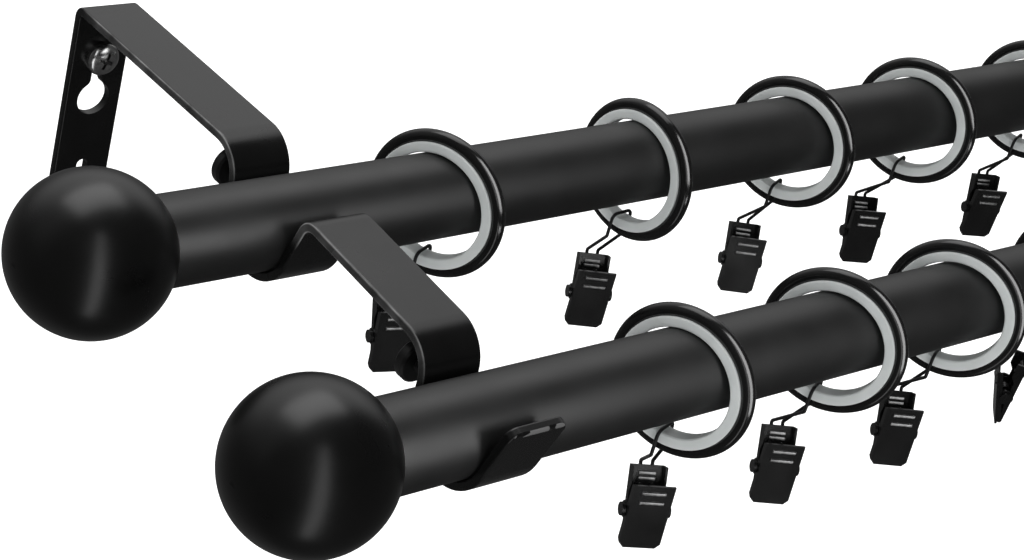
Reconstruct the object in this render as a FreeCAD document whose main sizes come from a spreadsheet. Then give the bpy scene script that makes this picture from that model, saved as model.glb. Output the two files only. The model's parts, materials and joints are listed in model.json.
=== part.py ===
# A double curtain pole: two tubes with ball finials, two bent strip brackets,
# lined rings on both tubes, and a sprung clip hanging from each ring by a wire hook.
# X runs along the poles, +Y points at the wall, Z is up.
# The origin lies on the wall, at the height of the wall screws, midway between the brackets.
import FreeCAD
import Part
import math
import os

Vector = FreeCAD.Vector
Rotation = FreeCAD.Rotation
Placement = FreeCAD.Placement
X_AXIS = Vector(1, 0, 0)
Y_AXIS = Vector(0, 1, 0)
Z_AXIS = Vector(0, 0, 1)

doc = FreeCAD.newDocument("DoubleCurtainPole")
sheet = doc.addObject("Spreadsheet::Sheet", "Sizes")

# Driving dimensions, in millimetres and degrees
DIMENSIONS = [
    ("pole_diameter", 28.0, "outside of each tube"),
    ("pole_wall", 1.2, "tube wall"),
    ("pole_length", 711.0, "each tube"),
    ("pole_reach", 112.0, "wall to back pole axis"),
    ("pole_spacing", 99.3, "back pole axis to front pole axis, along the arm"),
    ("pole_step", 8.5, "front pole axis below back pole axis"),
    ("front_pole_shift", 9.7, "front pole set along, to the right"),
    ("bracket_inset", 47.0, "end of the back pole to the middle of a bracket"),
    ("ball_diameter", 50.0, "finial ball"),
    ("plug_length", 22.0, "finial plug inside the tube"),
    ("plug_clearance", 0.1, "plug to tube, on the radius"),
    ("plug_chamfer", 1.5, "lead-in at the plug's end"),
    ("strip_width", 21.0, "bracket strip"),
    ("strip_thickness", 3.0, "bracket strip"),
    ("strip_edge_round", 0.7, "rounded arris of the strip"),
    ("strip_end_round", 3.5, "rounded corner at both ends of the strip"),
    ("cradle_clearance", 0.5, "cradle to pole, on the radius"),
    ("rest_gap", 0.1, "paint gap under a pole at rest"),
    ("arm_height", 17.5, "top of the first arm above the back pole axis, over that axis"),
    ("arm_fall", 0.8, "first arm falls from the wall, degrees"),
    ("second_arm_height", 16.9, "top of the second arm above the back pole axis, over that axis"),
    ("second_arm_fall", 5.2, "second arm falls towards the room, degrees"),
    ("corner_radius", 1.2, "inside of the bend at the wall plate"),
    ("elbow_radius", 9.8, "inside of the bend from arm to drop"),
    ("crest_radius", 3.5, "inside of the bend from cradle to second arm"),
    ("lip_lean", 20.0, "cradle front leans outwards, degrees"),
    ("lip_height", 14.3, "end of the lip above the front pole axis"),
    ("plate_foot", 70.0, "foot of the wall plate below the wall screw"),
    ("keyhole_width", 12.0, "round part of the keyhole"),
    ("keyhole_neck", 4.2, "slot of the keyhole"),
    ("keyhole_blend", 2.5, "hollow rounding between slot and round"),
    ("keyhole_drop", 15.5, "round part below the top of the slot"),
    ("keyhole_pitch", 41.0, "upper keyhole to lower keyhole"),
    ("wall_screw_diameter", 4.0, "threaded shank"),
    ("wall_screw_neck", 3.4, "plain shank under the head"),
    ("wall_screw_reach", 9.0, "shank past the wall's face"),
    ("wall_screw_head", 11.6, "pan head diameter"),
    ("wall_screw_head_height", 4.2, "pan head"),
    ("wall_screw_head_rim", 2.0, "straight rim of the pan head"),
    ("wall_screw_point", 4.0, "length of the tapered point"),
    ("recess_width", 6.4, "cross recess, tip to tip"),
    ("recess_slot", 1.3, "cross recess, slot width"),
    ("recess_depth", 2.4, "cross recess"),
    ("seat_gap", 0.05, "head to plate and screw to hole"),
    ("lock_screw_diameter", 5.0, "thumb screw shank"),
    ("lock_screw_rise", 2.2, "thumb screw axis above the pole axis"),
    ("lock_screw_head", 13.4, "thumb screw head diameter"),
    ("lock_screw_head_length", 4.0, "thumb screw head"),
    ("lock_screw_standoff", 10.5, "strip to head"),
    ("lock_screw_gap", 0.15, "screw tip to pole"),
    ("lock_screw_head_round", 0.8, "rounded rim of the head"),
    ("ring_diameter", 50.0, "outside of a ring"),
    ("ring_wire", 4.8, "wire of a ring"),
    ("liner_wall", 2.2, "liner from its bore to the ring's wire"),
    ("liner_width", 6.0, "liner along the pole"),
    ("liner_flange_depth", 3.4, "liner from bore to the top of its flanges"),
    ("liner_chamfer", 0.4, "edge of the liner's bore"),
    ("liner_clearance", 0.05, "liner groove to wire, on the radius"),
    ("hang_gap", 0.3, "pole to liner"),
    ("hook_gap", 0.5, "liner to hook"),
    ("hook_wire", 1.2, "hook wire diameter"),
    ("hook_width", 9.6, "hook loop at the ring, wire middle to wire middle"),
    ("hook_corner", 2.2, "bend at the top of the hook"),
    ("hook_bend", 1.0, "lower bends of the hook"),
    ("hook_foot_bend", 0.7, "bend into the clip's plate"),
    ("hook_foot_pitch", 4.0, "wire feet in the clip, middle to middle"),
    ("hook_foot_length", 1.2, "wire foot past the clip's plate"),
    ("hook_hole_depth", 6.3, "wire holes below the clip's top"),
    ("sheet_thickness", 0.8, "clip sheet"),
    ("clip_width", 13.8, "front jaw over its flanges"),
    ("clip_side_gap", 0.3, "between the flanges of the two jaws"),
    ("clip_top", 13.9, "back jaw above the pin"),
    ("clip_foot", 12.0, "both jaws below the pin"),
    ("jaw_top", 10.6, "front jaw above the pin"),
    ("jaw_gap", 0.3, "between the closed jaws"),
    ("back_plate_set", 2.0, "pin axis to the back jaw's inner face"),
    ("front_plate_set", 2.6, "pin axis to the front jaw's inner face"),
    ("ear_radius", 2.2, "back jaw's ears round the pin"),
    ("jaw_ear_radius", 2.8, "front jaw's ears round the pin"),
    ("flange_depth", 2.9, "back jaw's flange at its top"),
    ("waist_depth", 1.2, "back jaw's flange above the ear"),
    ("waist_height", 7.0, "middle of the slope into the waist, above the pin"),
    ("corner_cut", 1.6, "lower corners of the jaws"),
    ("jaw_flange_depth", 1.3, "front jaw's flange along its length"),
    ("pin_diameter", 2.0, "pivot pin"),
    ("pin_clearance", 0.06, "pin to front jaw, on the radius"),
    ("pin_head", 4.4, "heads of the pin"),
    ("pin_head_gap", 0.15, "front jaw to the pin's heads"),
    ("pin_head_length", 1.1, "heads of the pin"),
    ("bar_length", 8.4, "raised bars on the front jaw"),
    ("bar_width", 1.2, "raised bars on the jaws"),
    ("bar_height", 0.4, "raised bars on the jaws"),
    ("bar_first", 2.6, "first bar below the jaw's edge"),
    ("bar_pitch", 3.4, "first bar to second bar, front jaw"),
    ("back_bar_pitch", 1.7, "first bar to second bar, back jaw"),
    ("back_bar_length", 6.0, "raised bars on the back jaw"),
    ("spring_wire", 0.8, "torsion spring wire"),
    ("spring_turns", 4.0, "torsion spring coils"),
    ("spring_clearance", 0.15, "spring to pin, on the radius"),
    ("spring_leg", 6.0, "ends of the spring above the pin"),
    ("spring_seat", 0.05, "spring legs to the plates"),
]

# For each ring: distance right of the left bracket, then the turn about Z of the ring and of its clip,
# how far the clip's back jaw leans back, and how far its pin hangs from the ring's foot,
# along the ring towards the wall and down
RING_LAYOUT = {
    "back": [
        (60.1, 22.0, -15.0, 24.0, 4.0, 27.6),
        (149.1, 5.0, -28.0, 20.0, 4.0, 27.6),
        (227.9, 21.0, -30.0, 24.0, 4.0, 27.6),
        (298.6, 19.0, -24.0, 24.0, 5.5, 27.6),
        (373.0, 20.0, -23.0, 16.0, 4.0, 27.6),
    ],
    "front": [
        (81.9, 17.0, -26.0, 24.0, -1.8, 22.8),
        (150.9, 23.0, -28.0, 24.0, 4.0, 27.6),
        (212.0, 25.0, -28.0, 24.0, 4.0, 27.6),
        (282.0, 21.0, -137.0, 4.0, 9.0, 27.6),
        (355.0, 20.0, -28.0, 24.0, 4.0, 27.6),
    ],
}
for pole, layout in RING_LAYOUT.items():
    for number, (place, turn, clip_turn, clip_tilt, clip_set, clip_drop) in enumerate(layout, start=1):
        DIMENSIONS.append((f"{pole}_ring_{number}_place", place, "right of the left bracket"))
        DIMENSIONS.append((f"{pole}_ring_{number}_turn", turn, "ring turned about Z, degrees"))
        DIMENSIONS.append((f"{pole}_clip_{number}_turn", clip_turn, "clip turned about Z, degrees"))
        DIMENSIONS.append((f"{pole}_clip_{number}_tilt", clip_tilt, "back jaw leans back, degrees"))
        DIMENSIONS.append((f"{pole}_clip_{number}_set", clip_set, "clip from the ring's foot, along the ring"))
        DIMENSIONS.append((f"{pole}_clip_{number}_drop", clip_drop, "ring's underside to the clip's pin"))

for row, (alias, value, note) in enumerate(DIMENSIONS, start=1):
    sheet.set(f"A{row}", note)
    sheet.set(f"B{row}", str(value))
    sheet.setAlias(f"B{row}", alias)
doc.recompute()


def size(alias):
    """A driving dimension, read from the sheet."""
    return float(sheet.get(alias))


# Sketch and feature helpers


def new_body(name):
    body = doc.addObject("PartDesign::Body", name)
    body.Label = name
    return body


def plane_of(body, role):
    return next(item for item in body.Origin.OriginFeatures if item.Role == role)


def add_sketch(body, name, role, edges, offset=0.0):
    """A sketch on one of the body's own planes, set off along the plane's normal."""
    sketch = body.newObject("Sketcher::SketchObject", name)
    sketch.AttachmentSupport = [(plane_of(body, role), "")]
    sketch.MapMode = "FlatFace"
    sketch.AttachmentOffset = Placement(Vector(0, 0, offset), Rotation())
    sketch.addGeometry(edges, False)
    return sketch


def add_pad(body, name, role, edges, length, offset=0.0):
    """Material from a sketch; length is a sheet expression."""
    pad = body.newObject("PartDesign::Pad", name)
    pad.Profile = add_sketch(body, name + "_sketch", role, edges, offset)
    pad.setExpression("Length", length)
    doc.recompute()
    return pad


def add_pocket(body, name, role, edges, length, offset=0.0, turned=False):
    """A cut from a sketch; the volume has to fall."""
    before = body.Shape.Volume
    pocket = body.newObject("PartDesign::Pocket", name)
    pocket.Profile = add_sketch(body, name + "_sketch", role, edges, offset)
    pocket.setExpression("Length", length)
    pocket.Reversed = turned
    doc.recompute()
    if body.Shape.Volume >= before:
        raise RuntimeError(f"{name} cuts nothing")
    return pocket


def add_turning(body, name, edges):
    """A body turned about the X axis from a profile of (along, radius) points."""
    turning = body.newObject("PartDesign::Revolution", name)
    sketch = add_sketch(body, name + "_sketch", "XY_Plane", edges)
    turning.Profile = sketch
    turning.ReferenceAxis = (sketch, ["H_Axis"])
    turning.Angle = 360.0
    doc.recompute()
    return turning


def flat(point):
    return Vector(point[0], point[1], 0)


def closed_lines(points):
    """Straight edges round a list of points."""
    ends = points[1:] + points[:1]
    return [Part.LineSegment(flat(a), flat(b)) for a, b in zip(points, ends)]


def line(a, b):
    return Part.LineSegment(flat(a), flat(b))


def arc(a, middle, b):
    return Part.Arc(flat(a), flat(middle), flat(b))


def circle(centre, radius):
    return Part.Circle(flat(centre), Z_AXIS, radius)


def on_circle(centre, radius, degrees):
    angle = math.radians(degrees)
    return (centre[0] + radius * math.cos(angle), centre[1] + radius * math.sin(angle))


nodes = []


def add_copy(master, name, placement):
    """A placed piece with the master's shape."""
    piece = doc.addObject("Part::Feature", name)
    piece.Label = name
    piece.Shape = master.Shape.copy()
    piece.Placement = placement.multiply(piece.Placement)
    nodes.append(piece)
    return piece


def add_pieces(masters, name, placement):
    """Several pieces that lie in one file, placed together."""
    piece = doc.addObject("Part::Feature", name)
    piece.Label = name
    piece.Shape = Part.makeCompound([master.Shape.copy() for master in masters])
    piece.Placement = placement
    nodes.append(piece)
    return piece


def add_group(master, name, placements):
    """Several placed copies of one fastener, as separate solids of one piece."""
    solids = []
    for placement in placements:
        solid = master.Shape.copy()
        solid.Placement = placement.multiply(solid.Placement)
        solids.append(solid)
    piece = doc.addObject("Part::Feature", name)
    piece.Label = name
    piece.Shape = Part.makeCompound(solids)
    nodes.append(piece)
    return piece


# Places shared by the pieces

pole_radius = size("pole_diameter") / 2
half_length = size("pole_length") / 2
half_span = half_length - size("bracket_inset")
POLES = {
    "back": (Vector(0, -size("pole_reach"), 0), 0.0),
    "front": (
        Vector(0, -size("pole_reach") - size("pole_spacing"), -size("pole_step")),
        size("front_pole_shift"),
    ),
}
BRACKETS = {"left": -half_span, "right": half_span}

# The two poles: round tubes

for pole, (axis, shift) in POLES.items():
    tube = new_body(f"{pole}_pole")
    walls = [circle((0, 0), pole_radius), circle((0, 0), pole_radius - size("pole_wall"))]
    add_pad(tube, f"{pole}_tube", "YZ_Plane", walls, "Sizes.pole_length")
    tube.Placement = Placement(axis + Vector(shift - half_length, 0, 0), Rotation())
    nodes.append(tube)

# The ball finials: a ball with a flat where the tube ends, and a plug that fills the tube

ball_radius = size("ball_diameter") / 2
ball_set = math.sqrt(ball_radius ** 2 - pole_radius ** 2)
plug_radius = pole_radius - size("pole_wall") - size("plug_clearance")
rim_angle = math.degrees(math.atan2(pole_radius, ball_set))
ball_centre = (-ball_set, 0)
tip = (-ball_set - ball_radius, 0)
plug_end = size("plug_length")
chamfer = size("plug_chamfer")
finial_master = new_body("finial_master")
add_turning(
    finial_master,
    "finial_turning",
    [
        arc(tip, on_circle(ball_centre, ball_radius, (180 + rim_angle) / 2), (0, pole_radius)),
        line((0, pole_radius), (0, plug_radius)),
        line((0, plug_radius), (plug_end - chamfer, plug_radius)),
        line((plug_end - chamfer, plug_radius), (plug_end, plug_radius - chamfer)),
        line((plug_end, plug_radius - chamfer), (plug_end, 0)),
        line((plug_end, 0), tip),
    ],
)
for pole, (axis, shift) in POLES.items():
    left_end = Placement(axis + Vector(shift - half_length, 0, 0), Rotation())
    right_end = Placement(axis + Vector(shift + half_length, 0, 0), Rotation(Z_AXIS, 180))
    add_copy(finial_master, f"{pole}_left_finial", left_end)
    add_copy(finial_master, f"{pole}_right_finial", right_end)

# The brackets: one strip each, bent along a line of straight runs and tangent bends


def meet(point_a, along_a, point_b, along_b):
    """Where two lines meet, each given by a point and a direction."""
    cross = along_a[0] * along_b[1] - along_a[1] * along_b[0]
    gap = (point_b[0] - point_a[0], point_b[1] - point_a[1])
    run = (gap[0] * along_b[1] - gap[1] * along_b[0]) / cross
    return (point_a[0] + run * along_a[0], point_a[1] + run * along_a[1])


def unit(a, b):
    run = math.hypot(b[0] - a[0], b[1] - a[1])
    return ((b[0] - a[0]) / run, (b[1] - a[1]) / run)


def strip_outline(corners, radii, thickness):
    """Closed outline of a strip bent at each inner corner with the given middle radius."""
    half = thickness / 2
    stations = [(corners[0], unit(corners[0], corners[1]), None)]
    for before, corner, after, radius in zip(corners, corners[1:], corners[2:], radii):
        way_in = unit(before, corner)
        way_out = unit(corner, after)
        turn = math.acos(max(-1.0, min(1.0, way_in[0] * way_out[0] + way_in[1] * way_out[1])))
        side = 1 if way_in[0] * way_out[1] - way_in[1] * way_out[0] > 0 else -1
        setback = radius * math.tan(turn / 2)
        start = (corner[0] - way_in[0] * setback, corner[1] - way_in[1] * setback)
        end = (corner[0] + way_out[0] * setback, corner[1] + way_out[1] * setback)
        centre = (start[0] - side * radius * way_in[1], start[1] + side * radius * way_in[0])
        half_turn = side * turn / 2
        middle_way = (
            way_in[0] * math.cos(half_turn) - way_in[1] * math.sin(half_turn),
            way_in[0] * math.sin(half_turn) + way_in[1] * math.cos(half_turn),
        )
        middle = (centre[0] + side * radius * middle_way[1], centre[1] - side * radius * middle_way[0])
        stations.append((start, way_in, None))
        stations.append((end, way_out, (middle, middle_way)))
    stations.append((corners[-1], unit(corners[-2], corners[-1]), None))

    def beside(point, way, shift):
        return (point[0] - way[1] * shift, point[1] + way[0] * shift)

    edges = []
    for shift in (half, -half):
        for (a, way_a, _), (b, way_b, bend) in zip(stations, stations[1:]):
            start = beside(a, way_a, shift)
            end = beside(b, way_b, shift)
            if bend:
                edges.append(arc(start, beside(bend[0], bend[1], shift), end))
            else:
                edges.append(line(start, end))
    for point, way, _ in (stations[0], stations[-1]):
        edges.append(line(beside(point, way, half), beside(point, way, -half)))
    return edges


thickness = size("strip_thickness")
cradle_radius = pole_radius + size("cradle_clearance")
strip_radius = cradle_radius + thickness / 2
lean = math.radians(size("lip_lean"))
lip_way = (-math.sin(lean), math.cos(lean))
first_fall = math.tan(math.radians(size("arm_fall")))
second_fall = math.tan(math.radians(size("second_arm_fall")))


def cradle(pole):
    """Middle of a cradle, and a point of the lip's middle line, in the strip's plane."""
    axis = POLES[pole][0]
    middle = (axis.y, axis.z + size("cradle_clearance") - size("rest_gap"))
    return middle, on_circle(middle, strip_radius, 180 + size("lip_lean"))


back_middle, back_lip = cradle("back")
front_middle, front_lip = cradle("front")
UP = (0, 1)
plate_line = (-thickness / 2, 0)
first_arm = (back_middle[0], size("arm_height") - thickness / 2)
second_arm = (back_middle[0], size("second_arm_height") - thickness / 2)
back_drop = (back_middle[0] + strip_radius, 0)
front_drop = (front_middle[0] + strip_radius, 0)
first_way = (1, first_fall)
second_way = (1, second_fall)
lip_end_height = POLES["front"][0].z + size("lip_height")
strip_corners = [
    (plate_line[0], -size("plate_foot")),
    meet(plate_line, UP, first_arm, first_way),
    meet(first_arm, first_way, back_drop, UP),
    meet(back_drop, UP, back_lip, lip_way),
    meet(back_lip, lip_way, second_arm, second_way),
    meet(second_arm, second_way, front_drop, UP),
    meet(front_drop, UP, front_lip, lip_way),
    meet(front_lip, lip_way, (0, lip_end_height), (1, 0)),
]
strip_radii = [
    size("corner_radius") + thickness / 2,
    size("elbow_radius") + thickness / 2,
    strip_radius,
    size("crest_radius") + thickness / 2,
    size("elbow_radius") + thickness / 2,
    strip_radius,
]


def keyhole(neck_height):
    """A slot above that widens through two hollow roundings into a round below."""
    across = size("strip_width") / 2
    neck = size("keyhole_neck") / 2
    wide = size("keyhole_width") / 2
    blend = size("keyhole_blend")
    top = (across, neck_height)
    foot = (across, neck_height - size("keyhole_drop"))
    blend_rise = math.sqrt((wide + blend) ** 2 - (neck + blend) ** 2)
    blend_angle = math.degrees(math.atan2(blend_rise, neck + blend))
    slot_foot = foot[1] + blend_rise
    round_right = on_circle(foot, wide, blend_angle)
    round_left = on_circle(foot, wide, 180 - blend_angle)
    right_blend = on_circle((across + neck + blend, slot_foot), blend, 180 + blend_angle / 2)
    left_blend = on_circle((across - neck - blend, slot_foot), blend, -blend_angle / 2)
    return [
        arc((across - neck, neck_height), on_circle(top, neck, 90), (across + neck, neck_height)),
        line((across + neck, neck_height), (across + neck, slot_foot)),
        arc((across + neck, slot_foot), right_blend, round_right),
        arc(round_right, on_circle(foot, wide, -90), round_left),
        arc(round_left, left_blend, (across - neck, slot_foot)),
        line((across - neck, slot_foot), (across - neck, neck_height)),
    ]


def edge_names(shape, wanted):
    return [f"Edge{number}" for number, edge in enumerate(shape.Edges, start=1) if wanted(edge)]


strip_width = size("strip_width")
TOUCH = 1e-4
bracket_master = new_body("bracket_master")
strip_pad = add_pad(
    bracket_master,
    "strip",
    "YZ_Plane",
    strip_outline(strip_corners, strip_radii, thickness),
    "Sizes.strip_width",
)
strip_ends = [strip_corners[0], strip_corners[-1]]


def at_strip_end(edge):
    """An edge across the thickness at either end of the strip."""
    middle = edge.BoundBox.Center
    beside_strip = min(abs(middle.x), abs(middle.x - strip_width)) < TOUCH
    return beside_strip and any(
        math.hypot(middle.y - end[0], middle.z - end[1]) < TOUCH for end in strip_ends
    )


def along_side(edge):
    """An edge that runs along the strip, on either side of it."""
    box = edge.BoundBox
    return box.XLength < TOUCH and min(abs(box.XMin), abs(box.XMin - strip_width)) < TOUCH


end_round = bracket_master.newObject("PartDesign::Fillet", "strip_end_rounding")
end_round.Base = (strip_pad, edge_names(strip_pad.Shape, at_strip_end))
end_round.setExpression("Radius", "Sizes.strip_end_round")
doc.recompute()
edge_round = bracket_master.newObject("PartDesign::Fillet", "strip_edge_rounding")
edge_round.Base = (end_round, edge_names(end_round.Shape, along_side))
edge_round.setExpression("Radius", "Sizes.strip_edge_round")
doc.recompute()
for number, neck_height in enumerate((0.0, -size("keyhole_pitch")), start=1):
    add_pocket(
        bracket_master,
        f"keyhole_{number}",
        "XZ_Plane",
        keyhole(neck_height),
        "Sizes.strip_thickness",
        turned=True,
    )
lock_hole_radius = size("lock_screw_diameter") / 2 + size("seat_gap")
for pole, (axis, shift) in POLES.items():
    lock_height = axis.z + size("lock_screw_rise")
    strip_back = -axis.y - cradle_radius - thickness
    add_pocket(
        bracket_master,
        f"{pole}_lock_hole",
        "XZ_Plane",
        [circle((strip_width / 2, lock_height), lock_hole_radius)],
        "Sizes.strip_thickness + Sizes.cradle_clearance",
        offset=strip_back,
        turned=True,
    )
for side, place in BRACKETS.items():
    edge = Vector(place - strip_width / 2, 0, 0)
    add_copy(bracket_master, f"{side}_bracket", Placement(edge, Rotation()))

# The locking thumb screws: a shank through the drop and a disc head behind it

lock_radius = size("lock_screw_diameter") / 2
lock_head = size("lock_screw_head") / 2
lock_rim = size("lock_screw_head_round")
tip_set = pole_radius + size("lock_screw_gap")
head_start = cradle_radius + thickness + size("lock_screw_standoff")
head_end = head_start + size("lock_screw_head_length")
lock_master = new_body("lock_screw_master")


def rounded_corner(centre, radius, start_angle, end_angle):
    """An arc of a turned profile between two directions from its centre."""
    middle_angle = (start_angle + end_angle) / 2
    return arc(
        on_circle(centre, radius, start_angle),
        on_circle(centre, radius, middle_angle),
        on_circle(centre, radius, end_angle),
    )


add_turning(
    lock_master,
    "lock_screw_turning",
    [
        line((tip_set, 0), (tip_set, lock_radius)),
        line((tip_set, lock_radius), (head_start, lock_radius)),
        line((head_start, lock_radius), (head_start, lock_head - lock_rim)),
        rounded_corner((head_start + lock_rim, lock_head - lock_rim), lock_rim, 180, 90),
        line((head_start + lock_rim, lock_head), (head_end - lock_rim, lock_head)),
        rounded_corner((head_end - lock_rim, lock_head - lock_rim), lock_rim, 90, 0),
        line((head_end, lock_head - lock_rim), (head_end, 0)),
        line((head_end, 0), (tip_set, 0)),
    ],
)
TO_WALL = Rotation(Z_AXIS, 90)
lock_places = []
for axis, shift in POLES.values():
    for place in BRACKETS.values():
        seat = Vector(place, axis.y, axis.z + size("lock_screw_rise"))
        lock_places.append(Placement(seat, TO_WALL))
add_group(lock_master, "lock_screws", lock_places)

# The wall screws: a domed pan head with a cross recess, a plain neck and a short shank into the wall

screw_radius = size("wall_screw_diameter") / 2
neck_radius = size("wall_screw_neck") / 2
pan_radius = size("wall_screw_head") / 2
pan_height = size("wall_screw_head_height")
pan_seat = -thickness - size("seat_gap")
pan_top = pan_seat - pan_height
pan_rim = size("wall_screw_head_rim")
point_start = size("wall_screw_reach") - size("wall_screw_point")
dome_radius = (pan_radius ** 2 + (pan_height - pan_rim) ** 2) / (2 * (pan_height - pan_rim))
dome_centre = (pan_top + dome_radius, 0)
dome_angle = math.degrees(math.asin(pan_radius / dome_radius))
screw_master = new_body("wall_screw_master")
add_turning(
    screw_master,
    "wall_screw_turning",
    [
        rounded_corner(dome_centre, dome_radius, 180, 180 - dome_angle),
        line((pan_seat - pan_rim, pan_radius), (pan_seat, pan_radius)),
        line((pan_seat, pan_radius), (pan_seat, neck_radius)),
        line((pan_seat, neck_radius), (0, neck_radius)),
        line((0, neck_radius), (0, screw_radius)),
        line((0, screw_radius), (point_start, screw_radius)),
        line((point_start, screw_radius), (size("wall_screw_reach"), 0)),
        line((size("wall_screw_reach"), 0), (pan_top, 0)),
    ],
)
arm = size("recess_width") / 2
slot = size("recess_slot") / 2
cross = [
    (arm, slot), (slot, slot), (slot, arm), (-slot, arm), (-slot, slot), (-arm, slot),
    (-arm, -slot), (-slot, -slot), (-slot, -arm), (slot, -arm), (slot, -slot), (arm, -slot),
]
add_pocket(
    screw_master,
    "cross_recess",
    "YZ_Plane",
    closed_lines(cross),
    "Sizes.recess_depth",
    offset=pan_top,
    turned=True,
)
add_group(
    screw_master,
    "wall_screws",
    [Placement(Vector(place, 0, 0), TO_WALL) for place in BRACKETS.values()],
)

# The rings and their liners, turned about X and then hung on the pole

wire_radius = size("ring_wire") / 2
ring_radius = size("ring_diameter") / 2 - wire_radius
liner_radius = size("ring_diameter") / 2 - size("ring_wire") - size("liner_wall")
ring_master = doc.addObject("Part::Torus", "ring_master")
ring_master.setExpression("Radius1", "(Sizes.ring_diameter - Sizes.ring_wire) / 2")
ring_master.setExpression("Radius2", "Sizes.ring_wire / 2")
ring_master.Placement = Placement(Vector(0, 0, 0), Rotation(Y_AXIS, 90))
doc.recompute()

half_width = size("liner_width") / 2
liner_edge = size("liner_chamfer")
flange_top = liner_radius + size("liner_flange_depth")
groove_radius = wire_radius + size("liner_clearance")
groove_half = math.sqrt(groove_radius ** 2 - (ring_radius - flange_top) ** 2)
liner_master = new_body("liner_master")
add_turning(
    liner_master,
    "liner_turning",
    [
        line((-half_width + liner_edge, liner_radius), (half_width - liner_edge, liner_radius)),
        line((half_width - liner_edge, liner_radius), (half_width, liner_radius + liner_edge)),
        line((half_width, liner_radius + liner_edge), (half_width, flange_top)),
        line((half_width, flange_top), (groove_half, flange_top)),
        arc((groove_half, flange_top), (0, ring_radius - groove_radius), (-groove_half, flange_top)),
        line((-groove_half, flange_top), (-half_width, flange_top)),
        line((-half_width, flange_top), (-half_width, liner_radius + liner_edge)),
        line((-half_width, liner_radius + liner_edge), (-half_width + liner_edge, liner_radius)),
    ],
)


def ring_hang(turn):
    """Height of a ring's middle above the pole axis: a turned ring rests on its liner's edge."""
    edge = half_width - liner_edge
    side = edge * math.sin(math.radians(turn))
    rest = pole_radius + size("hang_gap")
    heights = []
    for degrees in range(0, 60):
        across, up = on_circle((0, 0), liner_radius, 90 - degrees)
        beside = across * math.cos(math.radians(turn)) - side
        if abs(beside) < rest:
            heights.append(math.sqrt(rest ** 2 - beside ** 2) - up)
    return max(heights)


# The clip, drawn about its pin: x along the pin, front towards -y

sheet_metal = size("sheet_thickness")
front_half = size("clip_width") / 2
back_half = front_half - sheet_metal - size("clip_side_gap")
back_face = size("back_plate_set")
front_face = size("front_plate_set")
clip_top = size("clip_top")
clip_foot = size("clip_foot")
jaw_top = size("jaw_top")
ear = size("ear_radius")
pin_radius = size("pin_diameter") / 2
bar = size("bar_height")


def bar_outline(height, length):
    """A raised bar with round ends, seen from the front."""
    end = size("bar_width") / 2
    reach = length / 2 - end
    return [
        line((-reach, height - end), (reach, height - end)),
        arc((reach, height - end), (reach + end, height), (reach, height + end)),
        line((reach, height + end), (-reach, height + end)),
        arc((-reach, height + end), (-reach - end, height), (-reach, height - end)),
    ]


def plate_outline(half, top, foot):
    """A plate with its lower corners cut off."""
    cut = size("corner_cut")
    right = [(half - cut, -foot), (half, -foot + cut), (half, top)]
    left = [(-x, z) for x, z in reversed(right)]
    return closed_lines(right + left)


# Back jaw: the tall plate, its two flanges with ears, the riveted pin and the bars
clip_back = new_body("clip_back_master")
hole_height = clip_top - size("hook_hole_depth")
foot_half = size("hook_foot_pitch") / 2
add_pad(
    clip_back,
    "back_plate",
    "XZ_Plane",
    plate_outline(back_half, clip_top, clip_foot),
    "Sizes.sheet_thickness",
    offset=-back_face - sheet_metal,
)
flange_front = back_face - size("flange_depth")
waist_front = back_face - size("waist_depth")
shoulder = size("waist_height")
ear_side = math.sqrt(ear ** 2 - waist_front ** 2)
flange_foot = -clip_foot + size("corner_cut")
back_flange = [
    line((back_face, flange_foot), (back_face, clip_top)),
    line((back_face, clip_top), (flange_front, clip_top)),
    line((flange_front, clip_top), (flange_front, shoulder + size("waist_depth"))),
    line((flange_front, shoulder + size("waist_depth")), (waist_front, shoulder - size("waist_depth"))),
    line((waist_front, shoulder - size("waist_depth")), (waist_front, ear_side)),
    arc((waist_front, ear_side), (-ear, 0), (waist_front, -ear_side)),
    line((waist_front, -ear_side), (back_face, flange_foot)),
]
for side, offset in (("left", -back_half), ("right", back_half - sheet_metal)):
    name = f"back_flange_{side}"
    add_pad(clip_back, name, "YZ_Plane", back_flange, "Sizes.sheet_thickness", offset=offset)
pin_half = front_half + size("pin_head_gap")
add_pad(
    clip_back,
    "pin",
    "YZ_Plane",
    [circle((0, 0), pin_radius)],
    "Sizes.clip_width + 2 * Sizes.pin_head_gap",
    offset=-pin_half,
)
for side, offset in (("left", -pin_half - size("pin_head_length")), ("right", pin_half)):
    add_pad(
        clip_back,
        f"pin_head_{side}",
        "YZ_Plane",
        [circle((0, 0), size("pin_head") / 2)],
        "Sizes.pin_head_length",
        offset=offset,
    )
for number in range(2):
    height = clip_top - size("bar_first") - number * size("back_bar_pitch")
    add_pad(
        clip_back,
        f"back_bar_{number + 1}",
        "XZ_Plane",
        bar_outline(height, size("back_bar_length")),
        "Sizes.bar_height",
        offset=-back_face,
    )
hole_radius = size("hook_wire") / 2 + size("seat_gap")
add_pocket(
    clip_back,
    "hook_holes",
    "XZ_Plane",
    [circle((side * foot_half, hole_height), hole_radius) for side in (-1, 1)],
    "Sizes.sheet_thickness",
    offset=-back_face,
)

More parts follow.
